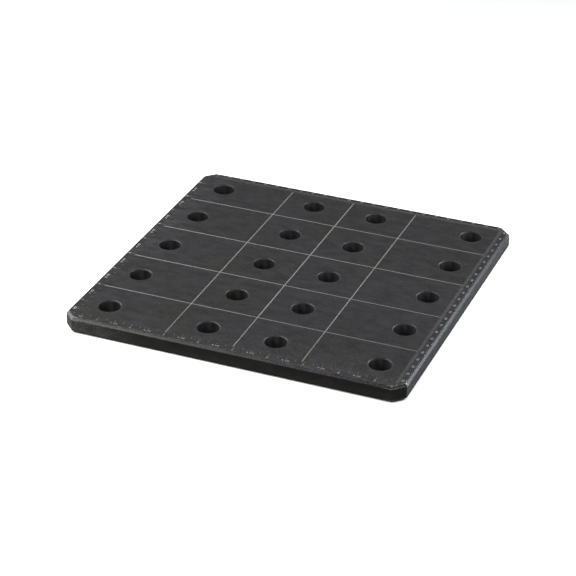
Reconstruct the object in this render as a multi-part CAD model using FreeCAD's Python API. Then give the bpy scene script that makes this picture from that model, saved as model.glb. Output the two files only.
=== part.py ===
import FreeCAD, Part

import os

# A perforated welding plate: one piece of thick steel with its four corners cut off, chamfered all
# round on both faces, drilled through with chamfered holes that take clamping pins and bolts, and
# engraved on the work face with a grid of fine V grooves.
# Millimetres. The origin is at the centre of the underside, +X runs along the front edge, +Y from
# the front edge to the back one, and +Z up through the work face.

# The blank
length_x = 250.0
length_y = 250.0
thickness = 12.0
corner_cut = 8.0
edge_chamfer = 1.7

# The clamping holes. Two columns stand close about the middle and one by each side edge.
hole_d = 16.0
hole_chamfer = 0.5
hole_rows = 5
row_pitch = 50.0
middle_column_gap = 50.0
side_column_inset = 25.0

# The engraved grid: V grooves along X and along Y. The engraving was set on the plate a little
# to the right of its middle and behind it, and the grooves stop short of the edges.
groove_width = 0.8
groove_depth = 0.25
groove_margin = 7.9
groove_rows = 4
groove_columns = 3
groove_pitch = 50.0
engraving_shift_x = 0.8
engraving_shift_y = 0.8

# How far the cutting tools stand out of the faces that they cut
overshoot = 1.0


def centred_row(count, pitch):
    """Places of evenly spaced things, centred on zero."""
    return [(index - (count - 1) / 2) * pitch for index in range(count)]


def hole_centres():
    """Where the clamping holes are, as (x, y) from the middle of the plate."""
    side_column = length_x / 2 - side_column_inset
    middle_column = middle_column_gap / 2
    columns = [-side_column, -middle_column, middle_column, side_column]
    return [(x, y) for x in columns for y in centred_row(hole_rows, row_pitch)]


def plan_corners():
    """The plan of the plate: a rectangle whose corners are cut at 45 degrees, anticlockwise."""
    half_x = length_x / 2
    half_y = length_y / 2
    low_x, high_x = -half_x + corner_cut, half_x - corner_cut
    low_y, high_y = -half_y + corner_cut, half_y - corner_cut
    return [
        (low_x, -half_y), (high_x, -half_y),
        (half_x, low_y), (half_x, high_y),
        (high_x, half_y), (low_x, half_y),
        (-half_x, high_y), (-half_x, low_y),
    ]


def blank():
    """The plate before it is drilled, with both faces chamfered all round."""
    points = [FreeCAD.Vector(x, y, 0) for x, y in plan_corners()]
    outline = Part.makePolygon(points + points[:1])
    plate = Part.Face(outline).extrude(FreeCAD.Vector(0, 0, thickness))
    upright = [edge for edge in plate.Edges if edge.BoundBox.ZLength > thickness / 2]
    rims = [edge for edge in plate.Edges if not any(edge.isSame(other) for other in upright)]
    return plate.makeChamfer(edge_chamfer, rims)


def hole_tool():
    """What the drill and the countersinks take away at one hole, standing on the origin."""
    wall = hole_d / 2
    mouth = wall + hole_chamfer + overshoot
    half_profile = [
        (0, -overshoot), (mouth, -overshoot), (wall, hole_chamfer),
        (wall, thickness - hole_chamfer), (mouth, thickness + overshoot), (0, thickness + overshoot),
    ]
    points = [FreeCAD.Vector(radius, 0, z) for radius, z in half_profile]
    face = Part.Face(Part.makePolygon(points + points[:1]))
    return face.revolve(FreeCAD.Vector(0, 0, 0), FreeCAD.Vector(0, 0, 1), 360)


def groove_tool(length):
    """A V cutter's path along X, centred on the origin: the cut, with a cone where it plunges
    at each end."""
    bottom = thickness - groove_depth
    top = thickness + overshoot
    half_top = groove_width / 2 * (top - bottom) / groove_depth
    section = [
        FreeCAD.Vector(-length / 2, 0, bottom),
        FreeCAD.Vector(-length / 2, half_top, top),
        FreeCAD.Vector(-length / 2, -half_top, top),
    ]
    vee = Part.Face(Part.makePolygon(section + section[:1])).extrude(FreeCAD.Vector(length, 0, 0))
    ends = [
        Part.makeCone(0, half_top, top - bottom, FreeCAD.Vector(x, 0, bottom))
        for x in (-length / 2, length / 2)
    ]
    return vee.fuse(ends)


def grooves():
    """Every groove of the engraved grid, in place."""
    tools = []
    for y in centred_row(groove_rows, groove_pitch):
        tool = groove_tool(length_x - 2 * groove_margin - groove_width)
        tool.translate(FreeCAD.Vector(0, y + engraving_shift_y, 0))
        tools.append(tool)
    for x in centred_row(groove_columns, groove_pitch):
        tool = groove_tool(length_y - 2 * groove_margin - groove_width)
        tool.rotate(FreeCAD.Vector(0, 0, 0), FreeCAD.Vector(0, 0, 1), 90)
        tool.translate(FreeCAD.Vector(x + engraving_shift_x, 0, 0))
        tools.append(tool)
    return tools


def holes():
    """Every clamping hole's tool, in place."""
    tools = []
    for x, y in hole_centres():
        tool = hole_tool()
        tool.translate(FreeCAD.Vector(x, y, 0))
        tools.append(tool)
    return tools


def welding_plate():
    """The finished plate."""
    plate = blank().cut(holes())
    return plate.cut(grooves()).removeSplitter()


plate = welding_plate()
solid = plate.Solids[0]
print("plate: solids", len(plate.Solids), "valid", plate.isValid(), "volume", round(plate.Volume))
os.makedirs("parts", exist_ok=True)
solid.exportStep("parts/plate.step")
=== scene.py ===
# %% [markdown]
# # Dressing a steel welding plate
# The plate is one piece of thick blackened steel. Work is clamped to it through its twenty holes
# while it is welded, ground or glued. Its whole shape comes from CAD: the cut corners, the chamfers,
# the holes and the fine engraved grid are in the solid.
# Blender adds what a solid can't hold: the light, the skin of the steel, and the four rules along
# the edges, whose strokes and numerals are only scratched into the skin.
# The imported solid is loaded first and is never moved.

import math

import bpy
from mathutils import Matrix, Quaternion, Vector


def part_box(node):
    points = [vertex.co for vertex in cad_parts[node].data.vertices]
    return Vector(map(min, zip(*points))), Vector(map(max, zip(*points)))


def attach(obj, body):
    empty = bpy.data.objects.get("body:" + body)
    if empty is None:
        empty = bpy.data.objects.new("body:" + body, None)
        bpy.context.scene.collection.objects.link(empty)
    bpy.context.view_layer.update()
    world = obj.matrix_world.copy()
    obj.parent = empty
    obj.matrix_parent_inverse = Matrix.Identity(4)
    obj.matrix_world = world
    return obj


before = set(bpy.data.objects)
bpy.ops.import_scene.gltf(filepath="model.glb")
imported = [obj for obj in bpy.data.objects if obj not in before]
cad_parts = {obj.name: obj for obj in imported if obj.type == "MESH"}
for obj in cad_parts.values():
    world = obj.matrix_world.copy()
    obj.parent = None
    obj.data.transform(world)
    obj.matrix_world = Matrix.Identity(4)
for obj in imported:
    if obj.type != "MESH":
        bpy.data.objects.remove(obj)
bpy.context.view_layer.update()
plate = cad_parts["plate"]
low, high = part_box("plate")
MM = 0.001
half_x = high.x / MM
half_y = high.y / MM
top = high.z
print("plate, mm:", [round(side / MM, 2) for side in high - low])

# %% [markdown]
# ## The camera
# The picture was taken with a long lens from the front, to the right of the plate and above it, so
# its edges run almost parallel. A camera is a place, a direction and a lens. The direction is
# written as a heading, turned from straight ahead towards the left, a dip below the horizon and a
# small roll, because those three can be read off and changed one by one. A tracking quaternion
# points the camera's -Z along the direction, and the roll is a turn about that same axis.

# %% Place the camera
camera_place = Vector((0.47535, -1.22145, 0.72005))
camera_heading = math.radians(21.515)
camera_dip = math.radians(28.873)
camera_roll = math.radians(0.838)
lens_mm = 129.34

ahead = Vector((
    -math.sin(camera_heading) * math.cos(camera_dip),
    math.cos(camera_heading) * math.cos(camera_dip),
    -math.sin(camera_dip),
))
camera = bpy.data.objects.new("camera", bpy.data.cameras.new("camera"))
camera.data.lens = lens_mm
camera.location = camera_place
camera.rotation_mode = "QUATERNION"
camera.rotation_quaternion = ahead.to_track_quat("-Z", "Y") @ Quaternion((0, 0, 1), camera_roll)
bpy.context.scene.collection.objects.link(camera)
bpy.context.scene.camera = camera
bpy.context.scene.view_settings.view_transform = "Standard"
print("camera to plate, m:", round((camera_place - (low + high) / 2).length, 3))

# %% [markdown]
# ## Helpers for node trees
# A material is a small program drawn as nodes. Written out, every node takes three or four lines, so
# a few helpers keep the recipes short: one adds a node and fills its inputs, others do arithmetic,
# carry a value from one range to another, blend and scale colours, and start a material or a node
# group. Each input takes either a plain value or another node's output.

# %% Node helpers
def give(tree, socket, value):
    """Links an output into a socket, or sets the socket's own value."""
    if isinstance(value, bpy.types.NodeSocket):
        tree.links.new(value, socket)
    else:
        socket.default_value = value


def add(tree, kind, inputs=None, **settings):
    """Adds a node with its settings, and fills the inputs that are named."""
    made = tree.nodes.new(kind)
    for name, value in settings.items():
        setattr(made, name, value)
    for name, value in (inputs or {}).items():
        give(tree, made.inputs[name], value)
    return made


def calc(tree, operation, *values):
    """One sum: the output of a Math node."""
    made = add(tree, "ShaderNodeMath", operation=operation)
    for socket, value in zip(made.inputs, values):
        give(tree, socket, value)
    return made.outputs[0]


def ramp(tree, value, start, end, first=0.0, last=1.0):
    """A value carried smoothly from first to last while the input goes from start to end."""
    made = add(tree, "ShaderNodeMapRange", interpolation_type="SMOOTHSTEP")
    for socket, number in zip(made.inputs, (value, start, end, first, last)):
        give(tree, socket, number)
    return made.outputs["Result"]


def blend(tree, share, first, second):
    """A colour between two others."""
    made = add(tree, "ShaderNodeMix", data_type="RGBA")
    give(tree, made.inputs["Factor"], share)
    give(tree, made.inputs["A"], first)
    give(tree, made.inputs["B"], second)
    return made.outputs["Result"]


def scaled(tree, vector, factor):
    """A colour or a place, times a number."""
    made = add(tree, "ShaderNodeVectorMath", {0: vector, "Scale": factor}, operation="SCALE")
    return made.outputs[0]


def new_material(name):
    """A material with an empty node tree, and that tree."""
    material = bpy.data.materials.new(name)
    material.use_nodes = True
    material.node_tree.nodes.clear()
    return material, material.node_tree


def new_group(name, inputs, outputs):
    """An empty shader node group, and its input and output nodes."""
    tree = bpy.data.node_groups.new(name, "ShaderNodeTree")
    for label, kind in inputs.items():
        tree.interface.new_socket(label, in_out="INPUT", socket_type=kind)
    for label, kind in outputs.items():
        tree.interface.new_socket(label, in_out="OUTPUT", socket_type=kind)
    return tree, tree.nodes.new("NodeGroupInput"), tree.nodes.new("NodeGroupOutput")


def use_group(tree, group, inputs):
    """Places a node group in a tree."""
    made = add(tree, "ShaderNodeGroup", node_tree=group)
    for name, value in inputs.items():
        give(tree, made.inputs[name], value)
    return made.outputs


def grey(level, warmth=0.0):
    """A grey as an RGBA colour, a little redder or bluer."""
    return (level * (1 + warmth), level, level * (1 - warmth), 1.0)


NUMBER = "NodeSocketFloat"
POINT = "NodeSocketVector"
print("node helpers are ready")

# %% [markdown]
# ## The white floor
# The plate lies on a plain pale floor in front of white. If the floor were made white by brighter
# lamps, the steel would be overlit, so the white is painted on for what looks at the floor directly:
# the Light Path node adds glow only for rays from the camera and for reflections in the metal. The
# glow grows with distance, where the lamps no longer reach, and there is none of it under the plate,
# where no light gets in, so the lower edge stands on a thin dark line. The light that the floor
# throws on the plate stays at its plain level, and the plate's shadow stays too.

# %% Lay the floor
floor_half = 6.0
floor_gap = 0.05 * MM
floor_colour = grey(0.62)
near_glow = 0.34
far_glow = 0.82
glow_grows = (0.5, 1.6)
corner_cut = 8.0
overhang = 1 * MM
reflected_border = 10 * MM


def seen_directly(tree):
    """One for rays of the camera, of reflections and of glass, and zero for the light itself."""
    path = tree.nodes.new("ShaderNodeLightPath").outputs
    seen = calc(tree, "MAXIMUM", path["Is Camera Ray"], path["Is Glossy Ray"])
    return calc(tree, "MAXIMUM", seen, path["Is Transmission Ray"])


def floor_glow(tree):
    """How strongly the floor glows: more far off, and not at all under the plate, as painted shadow."""
    place = tree.nodes.new("ShaderNodeTexCoord").outputs["Object"]
    away = add(tree, "ShaderNodeVectorMath", {0: place}, operation="LENGTH").outputs["Value"]
    strength = ramp(tree, away, *glow_grows, near_glow, far_glow)
    axes = add(tree, "ShaderNodeSeparateXYZ", {"Vector": place}).outputs
    across = calc(tree, "ABSOLUTE", axes["X"])
    along = calc(tree, "ABSOLUTE", axes["Y"])
    past_sides = calc(tree, "SUBTRACT", calc(tree, "MAXIMUM", across, along), high.x)
    past_cuts = calc(tree, "SUBTRACT", calc(tree, "ADD", across, along), high.x + high.y - corner_cut * MM)
    outside = calc(tree, "MAXIMUM", past_sides, calc(tree, "MULTIPLY", past_cuts, math.sqrt(0.5)))
    # Painted shadow: for the camera the glow ends just inside the plate's edge, and for reflections it
    # fades in over a border round the plate
    camera_ray = tree.nodes.new("ShaderNodeLightPath").outputs["Is Camera Ray"]
    start = ramp(tree, camera_ray, 0.0, 1.0, 0.0, -overhang)
    end = ramp(tree, camera_ray, 0.0, 1.0, reflected_border, 0.0)
    outside_painted_shadow = ramp(tree, outside, start, end)
    return calc(tree, "MULTIPLY", calc(tree, "MULTIPLY", strength, outside_painted_shadow), seen_directly(tree))


def studio_floor():
    """The floor's material: pale for the lamps, and white for what looks at it."""
    material, tree = new_material("studio floor")
    surface = add(tree, "ShaderNodeBsdfDiffuse", {"Color": floor_colour}).outputs[0]
    light = add(tree, "ShaderNodeEmission", {"Strength": floor_glow(tree)}).outputs[0]
    both = add(tree, "ShaderNodeAddShader", {0: surface, 1: light}).outputs[0]
    add(tree, "ShaderNodeOutputMaterial", {"Surface": both})
    return material


floor_mesh = bpy.data.meshes.new("floor")
corner_signs = ((-1, -1), (1, -1), (1, 1), (-1, 1))
floor_corners = [(x * floor_half, y * floor_half, -floor_gap) for x, y in corner_signs]
floor_mesh.from_pydata(floor_corners, [], [(0, 1, 2, 3)])
floor_mesh.materials.append(studio_floor())
floor = bpy.data.objects.new("floor", floor_mesh)
bpy.context.scene.collection.objects.link(floor)
print("floor, m:", 2 * floor_half, "square")

# %% [markdown]
# ## The surroundings
# Beyond the floor everything is white too. The world is a plain background whose strength depends
# on what looks at it: it is white for the camera and for reflections, and otherwise it throws a weak
# and even light, which fills the shadows and leaves the shaping to the lamps.

# %% Light the surroundings
ambient = 0.30

world = bpy.data.worlds.new("white studio")
bpy.context.scene.world = world
world.use_nodes = True
sky_tree = world.node_tree
sky_tree.nodes.clear()
level = ramp(sky_tree, seen_directly(sky_tree), 0.0, 1.0, ambient, 1.0)
sky = add(sky_tree, "ShaderNodeBackground", {"Color": grey(1.0), "Strength": level}).outputs[0]
add(sky_tree, "ShaderNodeOutputWorld", {"Surface": sky})
print("ambient light:", ambient)

# %% [markdown]
# ## The lamps
# Dark satin steel shows the shape of a lamp more than its strength, so each soft box has one job.
# The front box draws the bright line along the front chamfer, which fades to the right. The left box
# lights the crescents in the far rims of the holes, and a small card the cut corner at the front
# left. The right box draws the long pale line of the right chamfer, and the high one lifts the
# engraved grid. Each is an area light that is aimed at a point on the plate.

# %% Hang the soft boxes
def soft_box(name, place, aim, width, height, watts, colour):
    """A rectangular lamp, aimed at a point."""
    lamp = bpy.data.lights.new(name, "AREA")
    lamp.shape = "RECTANGLE"
    lamp.size = width
    lamp.size_y = height
    lamp.energy = watts
    lamp.color = colour
    holder = bpy.data.objects.new(name, lamp)
    holder.location = place
    holder.rotation_mode = "QUATERNION"
    holder.rotation_quaternion = (Vector(aim) - Vector(place)).to_track_quat("-Z", "Y")
    bpy.context.scene.collection.objects.link(holder)
    print(name, "at", [round(c, 2) for c in place], "m,", watts, "W")


white = (1.0, 1.0, 1.0)
cool = (0.88, 0.94, 1.0)
soft_box(
    "front box", place=(-0.36, -0.40, 0.43), aim=(-0.10, -0.11, 0.0),
    width=0.26, height=0.26, watts=6.2, colour=white)
soft_box(
    "left box", place=(-0.54, -0.09, 0.35), aim=(-0.10, -0.02, 0.0),
    width=0.22, height=0.22, watts=4.6, colour=white)
soft_box(
    "corner card", place=(-0.46, -0.03, 0.10), aim=(-0.12, -0.12, 0.01),
    width=0.12, height=0.08, watts=0.7, colour=white)
soft_box(
    "right box", place=(0.44, 0.34, 0.24), aim=(0.12, -0.02, 0.0),
    width=0.25, height=0.22, watts=4.8, colour=cool)
soft_box(
    "high right box", place=(0.56, 0.22, 0.53), aim=(0.02, 0.0, 0.0),
    width=0.30, height=0.25, watts=3.6, colour=white)

# %% [markdown]
# ## Where a point lies on the plate
# The finish changes from place to place: the skin is thin on the edges, dull on the sides, dark in
# the holes, and cut through in the engraved grooves. The solid has no painted regions, so the
# material works out where it is from the object's own coordinates. The next cells make one node
# group for this. It gives, in millimetres, how far a place is from the nearest edge of the blank,
# corner, rim of a hole and groove, and how deep it is in a hole. It also tells the upright sides,
# the walls of a hole that no lamp looks at, where Shade is near one, and the grooves along X, where
# Crosswise is one. The plate is the same in all four quarters, so absolute values fold it.

# %% Measures of the plate for its material
plate_thickness = high.z / MM
edge_chamfer = 1.7
hole_radius = 8.0
hole_chamfer = 0.5
row_pitch = 50.0
rows_each_side = 2
inner_column = 25.0
outer_column = 100.0
groove_half_width = 0.4
groove_pitch = 50.0
groove_margin = 7.9
groove_shift = 0.8
shade_heading = math.radians(128)
# The lower edges are worn half as far, so the distance to them counts double
lower_edge_share = 2.0
# Where the masks of the upright sides and of the hole walls end, inwards from the surface
side_border = (0.02, 0.20)
wall_border = (0.02, 0.12)
# The mask of the grooves reaches this deep, and fades at this rate below that and past their ends
groove_reach = 0.35
fade_below = 10.0
fade_past_end = 2.0
print("plate thickness, mm:", round(plate_thickness, 2))

# %% [markdown]
# Each measure is a short chain of sums. The edge of a chamfer is a line in space, and the distance
# to it is the long side of a right-angled triangle, so one small helper does all of those. The
# sides and the cut corners of the blank are straight, so an inset is the least of three sums.

# %% Measure from the edges
def span(tree, first, second):
    """The long side of a right-angled triangle."""
    squares = calc(tree, "ADD", calc(tree, "POWER", first, 2.0), calc(tree, "POWER", second, 2.0))
    return calc(tree, "SQRT", squares)


def edge_measures(tree, across, along, depth):
    """How far a place is from the nearest edge and corner, and whether it is on an upright side."""
    inset_x = calc(tree, "SUBTRACT", half_x, across)
    inset_y = calc(tree, "SUBTRACT", half_y, along)
    cut_sum = calc(tree, "SUBTRACT", half_x + half_y - corner_cut, calc(tree, "ADD", across, along))
    inset_cut = calc(tree, "MULTIPLY", cut_sum, math.sqrt(0.5))
    inset_side = calc(tree, "MINIMUM", inset_x, inset_y)
    inset = calc(tree, "MINIMUM", inset_side, inset_cut)
    upper = span(tree, calc(tree, "SUBTRACT", inset, edge_chamfer), depth)
    lower = span(tree, inset, calc(tree, "SUBTRACT", depth, edge_chamfer))
    lower = calc(tree, "MULTIPLY", lower, lower_edge_share)
    return {
        "Edge": calc(tree, "MINIMUM", upper, lower),
        "Corner": span(tree, inset_side, inset_cut),
        "Side": ramp(tree, inset, *side_border, 1.0, 0.0),
    }


print("measured from the edges of, mm:", round(2 * half_x, 1), "by", round(2 * half_y, 1))

# %% [markdown]
# The holes stand in rows and columns, so rounding finds the nearest row, and a comparison the inner
# or the outer column. From the hole's axis, the same triangle gives the distance to both edges of
# the rim's chamfer. Shade compares the direction of the wall with one heading.

# %% Measure from the holes
def hole_measures(tree, x, y, depth, below):
    """How far a place is from a rim, how deep it is in a hole, and how near its wall is to shade."""
    row = calc(tree, "ROUND", calc(tree, "DIVIDE", y, row_pitch))
    row = calc(tree, "MAXIMUM", calc(tree, "MINIMUM", row, rows_each_side), -rows_each_side)
    from_row = calc(tree, "SUBTRACT", y, calc(tree, "MULTIPLY", row, row_pitch))
    across = calc(tree, "ABSOLUTE", x)
    outward = calc(tree, "GREATER_THAN", across, (inner_column + outer_column) / 2)
    column = calc(tree, "MULTIPLY_ADD", outward, outer_column - inner_column, inner_column)
    from_column = calc(tree, "SUBTRACT", across, column)
    radius = span(tree, from_column, from_row)
    past_wall = calc(tree, "SUBTRACT", radius, hole_radius)
    mouth = span(tree, calc(tree, "SUBTRACT", radius, hole_radius + hole_chamfer), depth)
    throat = span(tree, past_wall, calc(tree, "SUBTRACT", depth, hole_chamfer))
    wall = ramp(tree, past_wall, *wall_border, 1.0, 0.0)
    across_shade = calc(tree, "MULTIPLY", calc(tree, "SIGN", x), math.cos(shade_heading) / hole_radius)
    shade = calc(tree, "MULTIPLY", from_column, across_shade)
    shade = calc(tree, "MULTIPLY_ADD", from_row, math.sin(shade_heading) / hole_radius, shade)
    return {
        "Rim": calc(tree, "MINIMUM", mouth, throat),
        "Bore": calc(tree, "MULTIPLY", wall, below),
        "Shade": shade,
    }


print("rows of holes:", 2 * rows_each_side + 1)

# %% [markdown]
# The grooves are evenly spaced lines too. Rounding finds the nearest one, but the count is held
# between the first line and the last, and past a groove's end the distance has to grow.

# %% Measure from the grooves
def nearest_groove(tree, position, offset, first, last):
    """How far a position is from the nearest of a few evenly spaced lines, counted first to last."""
    moved = calc(tree, "SUBTRACT", position, groove_shift + offset)
    line = calc(tree, "ROUND", calc(tree, "DIVIDE", moved, groove_pitch))
    line = calc(tree, "MAXIMUM", calc(tree, "MINIMUM", line, last), first)
    return calc(tree, "ABSOLUTE", calc(tree, "SUBTRACT", moved, calc(tree, "MULTIPLY", line, groove_pitch)))


def past_the_end(tree, distance, inset_ahead):
    """The same distance, made larger where the groove has already ended."""
    past = calc(tree, "MAXIMUM", calc(tree, "SUBTRACT", groove_margin, inset_ahead), 0.0)
    return calc(tree, "ADD", distance, calc(tree, "MULTIPLY", past, fade_past_end))


def groove_measures(tree, x, y, below):
    """How far a place on the work face is from a groove, and whether that groove runs along X."""
    inset_x = calc(tree, "SUBTRACT", half_x, calc(tree, "ABSOLUTE", x))
    inset_y = calc(tree, "SUBTRACT", half_y, calc(tree, "ABSOLUTE", y))
    along_y = past_the_end(tree, nearest_groove(tree, x, 0.0, -1, 1), inset_y)
    along_x = past_the_end(tree, nearest_groove(tree, y, groove_pitch / 2, -2, 1), inset_x)
    deeper = calc(tree, "MULTIPLY", calc(tree, "SUBTRACT", below, groove_reach), fade_below)
    nearest = calc(tree, "ADD", calc(tree, "MINIMUM", along_y, along_x), calc(tree, "MAXIMUM", deeper, 0.0))
    return {"Groove": nearest, "Crosswise": calc(tree, "LESS_THAN", along_x, along_y)}


print("groove pitch, mm:", groove_pitch)

# %% [markdown]
# The three sets of measures now go into one node group with a single input, the place. A material
# that holds this group can ask for any of them by name.

# %% A group that measures places
def plate_distances():
    """Node group: where a place lies on the plate, in millimetres."""
    labels = ("Edge", "Corner", "Side", "Rim", "Bore", "Shade", "Groove", "Crosswise")
    tree, given, result = new_group("plate distances", {"Place": POINT}, dict.fromkeys(labels, NUMBER))
    place = scaled(tree, given.outputs["Place"], 1 / MM)
    x, y, z = add(tree, "ShaderNodeSeparateXYZ", {"Vector": place}).outputs
    across = calc(tree, "ABSOLUTE", x)
    along = calc(tree, "ABSOLUTE", y)
    below = calc(tree, "SUBTRACT", plate_thickness, z)
    depth = calc(tree, "MINIMUM", z, below)
    measures = {
        **edge_measures(tree, across, along, depth),
        **hole_measures(tree, x, y, depth, below),
        **groove_measures(tree, x, y, below),
    }
    for label, value in measures.items():
        give(tree, result.inputs[label], value)
    return tree


distances = plate_distances()
print("plate distances:", len(distances.nodes), "nodes")

# %% [markdown]
# ## Grain and wear
# Ground and blackened steel is never one even tone. Broad clouds are left by the salt bath, smudges
# by hands and oil, fine streaks by the grinding wheel, and a dust-fine grain by them all. All four
# are noise of different sizes, so one group makes them, and both the black skin and the bare marks
# use it. Wear is a band along an edge whose reach is torn by noise, which a second group makes.

# %% Grain and wear groups
cloud_size = 26 * MM
smudge_size = 6 * MM
streak_length = 30 * MM
streak_width = 0.8 * MM
grain_size = 0.9 * MM
chip_size = 1.2 * MM
patch_size = 14 * MM


def steel_grain():
    """Node group: clouds, smudges, grinding streaks along X and grain, each from zero to one."""
    labels = ("Cloud", "Smudge", "Streak", "Grain")
    tree, given, result = new_group("steel grain", {"Place": POINT}, dict.fromkeys(labels, NUMBER))
    place = given.outputs["Place"]

    def noise(length, width, detail, roughness):
        scale = (1 / length, 1 / width, 1 / width)
        stretched = add(tree, "ShaderNodeMapping", {"Vector": place, "Scale": scale})
        made = add(tree, "ShaderNodeTexNoise", {
            "Vector": stretched.outputs[0], "Scale": 1.0, "Detail": detail, "Roughness": roughness})
        return made.outputs[0]

    give(tree, result.inputs["Cloud"], noise(1.4 * cloud_size, cloud_size, 7.0, 0.66))
    give(tree, result.inputs["Smudge"], noise(2.2 * smudge_size, smudge_size, 5.0, 0.62))
    give(tree, result.inputs["Streak"], noise(streak_length, streak_width, 3.0, 0.6))
    give(tree, result.inputs["Grain"], noise(grain_size, grain_size, 2.0, 0.6))
    return tree


def edge_wear():
    """Node group: how far the skin is rubbed through, from the distance to an edge."""
    inputs = {"Place": POINT, "Distance": NUMBER, "Reach": NUMBER}
    tree, given, result = new_group("edge wear", inputs, {"Wear": NUMBER})
    place = given.outputs["Place"]
    chips = add(tree, "ShaderNodeTexNoise", {"Vector": place, "Scale": 1 / chip_size, "Detail": 3.0})
    patches = add(tree, "ShaderNodeTexNoise", {"Vector": place, "Scale": 1 / patch_size, "Detail": 2.0})
    chipped = ramp(tree, chips.outputs[0], 0.30, 0.70)
    torn = calc(tree, "MULTIPLY", chipped, ramp(tree, patches.outputs[0], 0.35, 0.65, 0.35, 1.0))
    reach = calc(tree, "MULTIPLY", given.outputs["Reach"], calc(tree, "ADD", torn, 0.15))
    share = calc(tree, "DIVIDE", given.outputs["Distance"], reach)
    give(tree, result.inputs["Wear"], ramp(tree, share, 0.2, 1.0, 1.0, 0.0))
    return tree


grain_group = steel_grain()
wear_group = edge_wear()
print("groups:", grain_group.name, "and", wear_group.name)

# %% [markdown]
# ## The colour of the black skin
# Nitrided or blackened steel keeps an almost black ground, with faint patches of neutral and violet
# black, a cooler tint along the left edge that is partly painted light, and pale dust along the
# front. The upright sides are blacker, with a trace of brown. Painted light makes their left end
# paler, the right side paler and bluish, and the chamfer of the cut corner at the front right a
# little paler. The holes are an even, flat black, so their walls are blacker where the lamps reach
# them. Each is a colour that a mask lays over the one before, and noise then makes the skin outside
# the holes lighter and darker.

# %% Colour the skin
skin_neutral = (0.0065, 0.0065, 0.0057, 1.0)
skin_violet = (0.0058, 0.0058, 0.0072, 1.0)
left_tint_and_light = (0.0163, 0.0163, 0.0200, 1.0)
side_skin = (0.0010, 0.0009, 0.0007, 1.0)
side_lower_skin = (0.0034, 0.0034, 0.0031, 1.0)
side_brown = (0.0046, 0.0036, 0.0028, 1.0)
left_end_painted_light = (0.0165, 0.0162, 0.0150, 1.0)
right_side_painted_light = (0.0078, 0.0080, 0.0090, 1.0)
lit_wall_skin = (0.0052, 0.0052, 0.0050, 1.0)
shaded_wall_skin = (0.0280, 0.0280, 0.0275, 1.0)
right_cut_painted_light = (0.0135, 0.0135, 0.0134, 1.0)
# Where each patch fades: heights over the floor, or distances from the edge that it lies along
side_paler_heights = (2 * MM, 9 * MM)
under_edge_heights = (1.4 * MM, 2.0 * MM)
left_end_light_fade = (0.0, 70 * MM)
left_cut_fade = (6 * MM, 10 * MM)
left_strip_fade = (12 * MM, 34 * MM)
front_dust_fade = (4 * MM, 40 * MM)


def from_edge(tree, coordinate, edge):
    """How far a coordinate is from an edge of the plate, in metres."""
    return calc(tree, "ABSOLUTE", calc(tree, "SUBTRACT", coordinate, edge))


def on_right_side(tree, x):
    """One on the right side, and zero elsewhere."""
    return ramp(tree, x, high.x - 0.8 * MM, high.x - 0.1 * MM)


def on_right_cut(tree, x, y):
    """One on the corner cut at the front right, and zero elsewhere."""
    cut = high.x - low.y - corner_cut * MM
    chamfer = edge_chamfer * math.sqrt(2) * MM
    past_cut = calc(tree, "SUBTRACT", x, y)
    return ramp(tree, past_cut, cut - chamfer, cut - chamfer + 0.2 * MM)


def under_edge(tree, z):
    """One on the chamfers that face down, and zero elsewhere."""
    off_floor = ramp(tree, z, 0.02 * MM, 0.12 * MM)
    return calc(tree, "MULTIPLY", off_floor, ramp(tree, z, *under_edge_heights, 1.0, 0.0))


def side_colour(tree, x, z, grain):
    """The colour of the upright sides: paler towards the floor, with painted light at the left end and on
    the right side.
    """
    side = blend(tree, ramp(tree, z, *side_paler_heights, 1.0, 0.0), side_skin, side_lower_skin)
    brown = ramp(tree, grain["Smudge"], 0.50, 0.70, 0.0, 0.5)
    side = blend(tree, brown, side, side_brown)
    # Painted light: the sides are paler towards their left end, less so beside the cut corner
    from_left = from_edge(tree, x, low.x)
    past_cut = ramp(tree, from_left, *left_cut_fade, 0.22, 1.0)
    left_end_lit = calc(tree, "MULTIPLY", past_cut, ramp(tree, from_left, *left_end_light_fade, 1.0, 0.0))
    side = blend(tree, left_end_lit, side, left_end_painted_light)
    # Painted light: the right side is paler and bluish
    return blend(tree, on_right_side(tree, x), side, right_side_painted_light)


def skin_tone(tree, x, y, z, grain):
    """How light the skin is, as a share of its colour."""
    tone = ramp(tree, grain["Grain"], 0.25, 0.75, 0.30, 1.70)
    tone = calc(tree, "ADD", tone, ramp(tree, grain["Cloud"], 0.3, 0.7, -0.30, 0.30))
    tone = calc(tree, "ADD", tone, ramp(tree, grain["Smudge"], 0.3, 0.7, -0.55, 0.55))
    tone = calc(tree, "SUBTRACT", tone, ramp(tree, y, low.y * 0.4, high.y, 0.0, 0.40))
    near_front = ramp(tree, from_edge(tree, y, low.y), *front_dust_fade, 1.0, 0.0)
    dust = calc(tree, "MULTIPLY", near_front, ramp(tree, x, low.x * 0.3, high.x * 0.9, 0.40, 0.90))
    specks = ramp(tree, grain["Grain"], 0.35, 0.70, 0.0, 2.2)
    tone = calc(tree, "ADD", tone, calc(tree, "MULTIPLY", dust, specks))
    # Painted shade: the chamfers that face down are made almost black
    clean_and_unshaded = calc(tree, "SUBTRACT", 1.0, calc(tree, "MULTIPLY", under_edge(tree, z), 0.90))
    return calc(tree, "MAXIMUM", calc(tree, "MULTIPLY", tone, clean_and_unshaded), 0.05)


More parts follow.
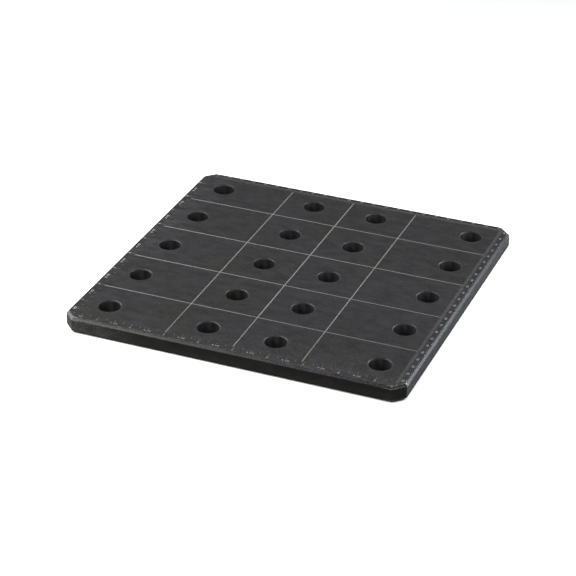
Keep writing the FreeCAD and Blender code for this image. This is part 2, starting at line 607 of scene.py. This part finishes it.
def skin_colour(tree, x, y, z, far, grain):
    """The black skin's colour at each place."""
    skin = blend(tree, ramp(tree, grain["Cloud"], 0.38, 0.62), skin_neutral, skin_violet)
    # Partly a cool tint and partly painted light: the left edge grows paler towards the back
    left_strip = ramp(tree, from_edge(tree, x, low.x), *left_strip_fade, 1.0, 0.0)
    tinted_and_lit = calc(tree, "MULTIPLY", left_strip, ramp(tree, y, low.y, high.y * 0.6, 0.0, 0.50))
    skin = blend(tree, tinted_and_lit, skin, left_tint_and_light)
    # Painted light: the chamfer of the cut corner at the front right is paler
    skin = blend(tree, on_right_cut(tree, x, y), skin, right_cut_painted_light)
    skin = blend(tree, far["Side"], skin, side_colour(tree, x, z, grain))
    skin = scaled(tree, skin, skin_tone(tree, x, y, z, grain))
    wall = blend(tree, ramp(tree, far["Shade"], 0.80, 1.0), lit_wall_skin, shaded_wall_skin)
    # Painted light: the hole walls are scaled paler towards the right and the front, to even out the lamps
    wall = scaled(tree, wall, ramp(tree, x, low.x * 0.8, high.x, 0.74, 1.7))
    wall = scaled(tree, wall, ramp(tree, y, low.y * 0.8, high.y * 0.8, 1.15, 0.80))
    return blend(tree, ramp(tree, far["Bore"], 0.0, 0.4), skin, wall)


print("skin colours, neutral and violet:", skin_neutral[:3], skin_violet[:3])

# %% [markdown]
# ## The sheen of the black skin
# A dark base colour with a low specular level and a middling roughness gives the satin sheen. It is
# strongest at a flat angle, which is why the top looks paler than the front. A duller surface
# spreads its reflection thin, so roughness makes the sides, the holes, the chamfers that face down
# and a line along the far edges look blacker. The chamfers that face down also get painted shade.

# %% Dull the skin
left_edge_width = 2.0 * MM
back_edge_width = 3.0 * MM
past_front_cut = (low.y + 8.5 * MM, low.y + 9.5 * MM)
upper_chamfer = (high.z - 2.0 * MM, high.z - 1.7 * MM)
strip_depth = (0.30 * MM, 0.42 * MM)


def far_edges(tree, x, y, z):
    """One on the left chamfer and on a line along the back edge, and zero elsewhere."""
    left = ramp(tree, from_edge(tree, x, low.x), left_edge_width, left_edge_width + 0.2 * MM, 1.0, 0.0)
    left = calc(tree, "MULTIPLY", left, ramp(tree, y, *past_front_cut))
    back = ramp(tree, from_edge(tree, y, high.y), back_edge_width, back_edge_width + 0.4 * MM, 1.0, 0.0)
    above = ramp(tree, z, *upper_chamfer)
    return calc(tree, "MULTIPLY", above, calc(tree, "MAXIMUM", left, back))


def chamfer_top(tree, z, far):
    """One on the uppermost strip of the chamfers along the edges, and zero elsewhere."""
    below = calc(tree, "SUBTRACT", high.z, z)
    strip = ramp(tree, below, *strip_depth, 1.0, 0.0)
    strip = calc(tree, "MULTIPLY", strip, ramp(tree, below, 0.01 * MM, 0.05 * MM))
    strip = calc(tree, "MULTIPLY", strip, ramp(tree, far["Rim"], 1.0, 1.5))
    return calc(tree, "MULTIPLY", strip, ramp(tree, far["Groove"], 1.0, 2.0))


def skin_roughness(tree, x, y, z, far, grain, groove):
    """How dull the skin is at each place."""
    dull = ramp(tree, grain["Cloud"], 0.3, 0.7, 0.41, 0.46)
    dull = calc(tree, "ADD", dull, ramp(tree, grain["Streak"], 0.3, 0.7, -0.02, 0.02))
    side_share = ramp(tree, on_right_side(tree, x), 0.0, 1.0, 0.32, 0.13)
    extras = [
        calc(tree, "MULTIPLY", far["Side"], side_share),
        calc(tree, "MULTIPLY", groove, 0.18),
        ramp(tree, far["Bore"], 0.0, 0.5, 0.0, 0.25),
        calc(tree, "MULTIPLY", under_edge(tree, z), 0.55),
        calc(tree, "MULTIPLY", far_edges(tree, x, y, z), 0.50),
        calc(tree, "MULTIPLY", chamfer_top(tree, z, far), 0.35),
    ]
    extra = extras[0]
    for another in extras[1:]:
        extra = calc(tree, "MAXIMUM", extra, another)
    return calc(tree, "ADD", dull, extra)


print("dull line along the back edge, mm:", round(back_edge_width / MM, 1))

# %% [markdown]
# ## Nicks and grooves
# The skin is broken in three small nicks at the front right corner, and cut through in the grooves.
# The bare steel there is a colour and a mask each. The grooves get painted light and shade: their
# colour is scaled darker where they run along X, at the front and on the right.

# %% Bare steel in the nicks and grooves
groove_steel = (0.132, 0.131, 0.121)
groove_back_fade = (-75 * MM, 25 * MM)
groove_right_fade = (10 * MM, 45 * MM)
groove_front_fade = (-85 * MM, -65 * MM)
nick_steel = (0.18, 0.18, 0.185, 1.0)
# The centre and the reach of each nick
nicks = [
    ((high.x - 1.0 * MM, low.y + 9.2 * MM, high.z - 0.6 * MM), 0.60 * MM),
    ((high.x - 8.7 * MM, low.y + 1.8 * MM, high.z), 0.85 * MM),
    ((high.x - 6.2 * MM, low.y + 4.3 * MM, high.z), 0.70 * MM),
]


def nicked(tree, place):
    """One on the small nicks, and zero elsewhere."""
    found = 0.0
    for centre, reach in nicks:
        away = add(tree, "ShaderNodeVectorMath", {0: place, 1: centre}, operation="DISTANCE")
        here = ramp(tree, away.outputs["Value"], reach * 0.3, reach, 1.0, 0.0)
        found = calc(tree, "MAXIMUM", found, here)
    return found


def groove_colour(tree, x, y, crosswise):
    """The steel in the grooves, with painted light and shade: darker along X, at the front and on the
    right.
    """
    along_x = ramp(tree, y, *groove_back_fade, 0.70, 0.93)
    along_y = ramp(tree, x, *groove_right_fade, 1.12, 0.86)
    along_y = calc(tree, "MULTIPLY", along_y, ramp(tree, y, *groove_front_fade, 0.72, 1.0))
    more = calc(tree, "MULTIPLY", crosswise, calc(tree, "SUBTRACT", along_x, along_y))
    steel = add(tree, "ShaderNodeCombineXYZ", dict(zip("XYZ", groove_steel))).outputs[0]
    return scaled(tree, steel, calc(tree, "ADD", along_y, more))


print("nicks:", len(nicks))

# %% [markdown]
# ## The finished steel
# Where the skin is rubbed off or cut through, the metallic share rises and the steel itself shows:
# in the grooves and nicks, along the edges near the corners, and faintly on the rims. Streaks and
# grain also stand up a little, which a Bump node makes from their noise. One Principled shader
# takes all of it.

# %% Make the steel
skin_level = 0.115
worn_steel = (0.16, 0.16, 0.17, 1.0)
corner_reach = 0.9
edge_reach = 0.10
rim_reach = 0.25
bump_strength = 0.06


def black_steel():
    """The plate's own finish."""
    material, tree = new_material("blackened steel")
    place = tree.nodes.new("ShaderNodeTexCoord").outputs["Object"]
    x, y, z = add(tree, "ShaderNodeSeparateXYZ", {"Vector": place}).outputs
    far = use_group(tree, distances, {"Place": place})
    grain = use_group(tree, grain_group, {"Place": place})

    reach = ramp(tree, far["Corner"], 2.0, 6.0, corner_reach, edge_reach)
    edge = use_group(tree, wear_group, {"Place": place, "Distance": far["Edge"], "Reach": reach})["Wear"]
    rim = use_group(tree, wear_group, {"Place": place, "Distance": far["Rim"], "Reach": rim_reach})["Wear"]
    worn = calc(tree, "MAXIMUM", calc(tree, "MULTIPLY", edge, 0.75), calc(tree, "MULTIPLY", rim, 0.22))
    groove = ramp(tree, far["Groove"], groove_half_width * 0.9, groove_half_width * 1.1, 1.0, 0.0)
    nick = nicked(tree, place)

    colour = blend(tree, worn, skin_colour(tree, x, y, z, far, grain), worn_steel)
    colour = blend(tree, groove, colour, groove_colour(tree, x, y, far["Crosswise"]))
    colour = blend(tree, nick, colour, nick_steel)
    metal = calc(tree, "MAXIMUM", calc(tree, "MAXIMUM", worn, groove), nick)
    streaks = calc(tree, "MULTIPLY", grain["Streak"], 0.6)
    height = calc(tree, "ADD", streaks, calc(tree, "MULTIPLY", grain["Grain"], 0.4))
    bump = add(tree, "ShaderNodeBump", {"Strength": bump_strength, "Distance": 0.1 * MM, "Height": height})
    shader = add(tree, "ShaderNodeBsdfPrincipled", {
        "Base Color": colour, "Metallic": metal, "Specular IOR Level": skin_level,
        "Roughness": skin_roughness(tree, x, y, z, far, grain, groove), "Normal": bump.outputs[0]})
    add(tree, "ShaderNodeOutputMaterial", {"Surface": shader.outputs[0]})
    return material


plate.data.materials.clear()
plate.data.materials.append(black_steel())
print("plate finish:", plate.data.materials[0].name)

# %% [markdown]
# ## Bare steel for the marks
# The strokes and numerals are cut through the skin, so they show pale, dull steel. The fine strokes
# hold more dirt than the numerals and look darker, and the left numerals are brighter than those
# of the other rules. One recipe with two ends of a slightly warm grey makes all three.

# %% Steel for strokes and numerals
mark_warmth = 0.03


def engraved_steel(name, darkest, palest):
    """Bare steel in a fine cut: paler than the skin, and dull."""
    material, tree = new_material(name)
    place = tree.nodes.new("ShaderNodeTexCoord").outputs["Object"]
    grain = use_group(tree, grain_group, {"Place": place})
    clean_and_unshaded = ramp(tree, grain["Grain"], 0.25, 0.75)
    colour = blend(tree, clean_and_unshaded, grey(darkest, mark_warmth), grey(palest, mark_warmth))
    bump = add(tree, "ShaderNodeBump", {"Strength": 0.2, "Distance": 0.05 * MM, "Height": grain["Grain"]})
    shader = add(tree, "ShaderNodeBsdfPrincipled", {
        "Base Color": colour, "Metallic": ramp(tree, grain["Cloud"], 0.0, 1.0, 0.75, 0.95),
        "Roughness": ramp(tree, grain["Cloud"], 0.3, 0.7, 0.45, 0.60), "Normal": bump.outputs[0]})
    add(tree, "ShaderNodeOutputMaterial", {"Surface": shader.outputs[0]})
    return material


stroke_steel = engraved_steel("scribed steel", darkest=0.10, palest=0.17)
bright_steel = engraved_steel("engraved steel", darkest=0.32, palest=0.46)
faint_steel = engraved_steel("faintly engraved steel", darkest=0.18, palest=0.28)
print("marks:", stroke_steel.name, "/", bright_steel.name, "/", faint_steel.name)

# %% [markdown]
# ## The rules' strokes
# A rule runs along each edge: inches at the front and on the left, millimetres at the back and on
# the right. Its strokes hang from a base line, outwards, and are longer at every half and every
# whole step. They repeat exactly, so Geometry Nodes make them: points along a line, a block put on
# each, and the block's length chosen from the point's number. The strokes are cut only skin deep, so
# they are made as thin slips of bare steel that lie almost level with the face.

# %% A tree that lays out strokes
mark_thickness = 0.03 * MM
stroke_inputs = {
    "Count": "NodeSocketInt", "First": "NodeSocketInt", "Pitch": NUMBER,
    "Half every": "NodeSocketInt", "Whole every": "NodeSocketInt",
    "Short": NUMBER, "Half": NUMBER, "Whole": NUMBER, "Width": NUMBER,
    "Thickness": NUMBER, "Material": "NodeSocketMaterial",
}


def stroke_tree():
    """Geometry nodes: a row of strokes along X that hang from the X axis towards -Y."""
    tree = bpy.data.node_groups.new("rule strokes", "GeometryNodeTree")
    for name, kind in stroke_inputs.items():
        tree.interface.new_socket(name, in_out="INPUT", socket_type=kind)
    tree.interface.new_socket("Strokes", in_out="OUTPUT", socket_type="NodeSocketGeometry")
    given = tree.nodes.new("NodeGroupInput").outputs
    number = calc(tree, "ADD", tree.nodes.new("GeometryNodeInputIndex").outputs[0], given["First"])
    start = calc(tree, "MULTIPLY", given["First"], given["Pitch"])
    line = add(tree, "GeometryNodeMeshLine", {
        "Count": given["Count"],
        "Start Location": add(tree, "ShaderNodeCombineXYZ", {"X": start}).outputs[0],
        "Offset": add(tree, "ShaderNodeCombineXYZ", {"X": given["Pitch"]}).outputs[0],
    })

    def length_at(every, longer, shorter):
        """The longer length at every so many strokes, and the shorter one between them."""
        chosen = calc(tree, "LESS_THAN", calc(tree, "MODULO", number, every), 0.5)
        more = calc(tree, "MULTIPLY", chosen, calc(tree, "SUBTRACT", longer, shorter))
        return calc(tree, "ADD", shorter, more)

    length = length_at(given["Half every"], given["Half"], given["Short"])
    length = length_at(given["Whole every"], given["Whole"], length)
    block = tree.nodes.new("GeometryNodeMeshCube")
    hung = add(tree, "GeometryNodeTransform", {"Geometry": block.outputs[0], "Translation": (0, -0.5, 0)})
    size = add(tree, "ShaderNodeCombineXYZ", {"X": given["Width"], "Y": length, "Z": given["Thickness"]})
    placed = add(tree, "GeometryNodeInstanceOnPoints", {
        "Points": line.outputs[0], "Instance": hung.outputs[0], "Scale": size.outputs[0]})
    real = add(tree, "GeometryNodeRealizeInstances", {"Geometry": placed.outputs[0]})
    coated = add(tree, "GeometryNodeSetMaterial", {
        "Geometry": real.outputs[0], "Material": given["Material"]})
    output = tree.nodes.new("NodeGroupOutput")
    tree.links.new(coated.outputs[0], output.inputs[0])
    return tree


strokes = stroke_tree()
print("rule strokes:", len(strokes.nodes), "nodes")

# %% [markdown]
# ## Laying the strokes along the edges
# Each rule is drawn along the X axis and then carried to its edge by quarter turns, so the same
# tree serves all four. The inch rules have a stroke at every quarter. The millimetre rules have one
# at every millimetre, longer at five and ten. Rules along X count from the left and rules along Y
# from the front, and the strokes that would fall on a cut corner are left out.

# %% Rules along the four edges
inch = 25.4
art_shift = 0.6
edges_in_turn = ("front", "right", "back", "left")


def edge_point(edge, along, inset):
    """A point on the work face, from its place along an edge and its inset from it, mm."""
    x, y = {
        "front": (-half_x + along, -half_y + inset),
        "right": (half_x - inset, -half_y + along),
        "back": (-half_x + along, half_y - inset),
        "left": (-half_x + inset, -half_y + along),
    }[edge]
    return Vector((x * MM, y * MM, top))


def edge_matrix(edge, zero, inset):
    """From a rule drawn along X to its edge: zero is the place of its nought along the edge, mm."""
    turned = Matrix.Rotation(math.radians(90 * edges_in_turn.index(edge)), 4, "Z")
    return Matrix.Translation(edge_point(edge, zero, inset)) @ turned


def lay_strokes(edge, zero, inset, sizes):
    """One rule's strokes, as a plain mesh on the plate."""
    name = "rule_" + edge + "_strokes"
    holder = bpy.data.objects.new(name, bpy.data.meshes.new(name + "_start"))
    bpy.context.scene.collection.objects.link(holder)
    maker = holder.modifiers.new("strokes", "NODES")
    maker.node_group = strokes
    inputs = [item for item in strokes.interface.items_tree if item.in_out == "INPUT"]
    sockets = {item.name: item.identifier for item in inputs}
    for label, value in sizes.items():
        maker[sockets[label]] = value
    maker[sockets["Thickness"]] = mark_thickness
    maker[sockets["Material"]] = stroke_steel
    shown = holder.evaluated_get(bpy.context.evaluated_depsgraph_get())
    mesh = bpy.data.meshes.new_from_object(shown)
    holder.modifiers.clear()
    holder.data = mesh
    mesh.name = name
    mesh.transform(edge_matrix(edge, zero, inset))
    mesh.update()
    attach(holder, "root")
    print(name, "strokes:", len(mesh.polygons) // 6)


inch_sizes = {
    "Count": 37, "First": 1, "Pitch": inch / 4 * MM, "Half every": 2, "Whole every": 4,
    "Short": 1.9 * MM, "Half": 2.1 * MM, "Whole": 3.2 * MM, "Width": 0.22 * MM}
millimetre_sizes = {
    "Count": 237, "First": 7, "Pitch": 1 * MM, "Half every": 5, "Whole every": 10,
    "Short": 2.3 * MM, "Half": 2.8 * MM, "Whole": 3.2 * MM, "Width": 0.20 * MM}
lay_strokes("front", zero=0.0, inset=8.2, sizes=inch_sizes)
lay_strokes("right", zero=art_shift, inset=8.1, sizes=millimetre_sizes)
lay_strokes("back", zero=art_shift, inset=7.5, sizes={**millimetre_sizes, "Pitch": -1 * MM})
lay_strokes("left", zero=art_shift, inset=8.0, sizes={**inch_sizes, "Pitch": -inch / 4 * MM})

# %% [markdown]
# ## The numerals
# Plain numerals stand outside the strokes: whole and half inches on two edges, and every ten
# millimetres on the others. Blender's own letters are curves. Each is given a thickness, turned into
# a mesh while it still lies at the origin, moved to its place and joined with the others of its
# rule, because a rule is read as one thing and eighty loose objects would be a burden.

# %% Numerals on the rules
digit_share = 0.72
half_boldness = 0.03
half_spacing = 1.20
millimetre_boldness = 0.02
first_height = 1.85
height_step = 0.022
# The spacing of the figures and their shift along the rule, for numbers of two and three figures
two_figures = (1.25, 0.0)
three_figures = (0.90, -0.25)


def numeral_mesh(words, height, boldness, spacing):
    """Numerals of a height, centred on the origin, as a mesh with a little thickness."""
    curve = bpy.data.curves.new(words, "FONT")
    curve.body = words
    curve.size = height / digit_share
    curve.align_x = "CENTER"
    curve.align_y = "CENTER"
    curve.extrude = mark_thickness / 2
    curve.offset = boldness * curve.size
    curve.space_character = spacing
    curve.resolution_u = 2
    holder = bpy.data.objects.new(words, curve)
    bpy.context.scene.collection.objects.link(holder)
    shown = holder.evaluated_get(bpy.context.evaluated_depsgraph_get())
    mesh = bpy.data.meshes.new_from_object(shown)
    bpy.data.objects.remove(holder)
    return mesh


def lay_numerals(edge, steel, labels):
    """One rule's numerals. A label: words, place along the edge, inset, height, boldness, spacing."""
    name = "rule_" + edge + "_numerals"
    turned = Matrix.Rotation(math.radians(90 if edge in ("left", "right") else 0), 4, "Z")
    parts = []
    for words, along, inset, height, boldness, spacing in labels:
        mesh = numeral_mesh(words, height * MM, boldness, spacing)
        mesh.transform(Matrix.Translation(edge_point(edge, along, inset)) @ turned)
        part = bpy.data.objects.new(words, mesh)
        bpy.context.scene.collection.objects.link(part)
        parts.append(part)
    with bpy.context.temp_override(active_object=parts[0], selected_editable_objects=parts):
        bpy.ops.object.join()
    rule = parts[0]
    rule.name = name
    rule.data.name = name
    rule.data.materials.clear()
    rule.data.materials.append(steel)
    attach(rule, "root")
    print(name, "labels:", len(labels), "triangles:", len(rule.data.polygons))


def inch_labels(shift, whole_inset, half_inset, whole_height, half_height):
    """Whole and half inches, from the corner."""
    labels = []
    for count in range(1, 10):
        labels.append((str(count), count * inch + shift, whole_inset, whole_height, 0.0, 1.0))
        words = "1/2" if count == 1 else str(count - 1) + " 1/2"
        place = (count - 0.5) * inch + shift
        labels.append((words, place, half_inset, half_height, half_boldness, half_spacing))
    return labels


def millimetre_labels(shift, inset):
    """Every ten millimetres, from the corner. Later ones are smaller, and three figures closer."""
    labels = []
    for count in range(1, 25):
        words = str(count * 10)
        height = first_height - height_step * count
        spacing, nudge = two_figures if len(words) < 3 else three_figures
        labels.append((words, count * 10 + shift + nudge, inset, height, millimetre_boldness, spacing))
    return labels


front_labels = inch_labels(
    shift=0.0, whole_inset=3.7, half_inset=4.5, whole_height=2.1, half_height=1.5)
left_labels = inch_labels(
    shift=art_shift, whole_inset=3.4, half_inset=4.1, whole_height=2.3, half_height=1.7)
lay_numerals("front", faint_steel, front_labels)
lay_numerals("left", bright_steel, left_labels)
lay_numerals("right", faint_steel, millimetre_labels(shift=art_shift, inset=3.8))
lay_numerals("back", faint_steel, millimetre_labels(shift=art_shift, inset=3.3))
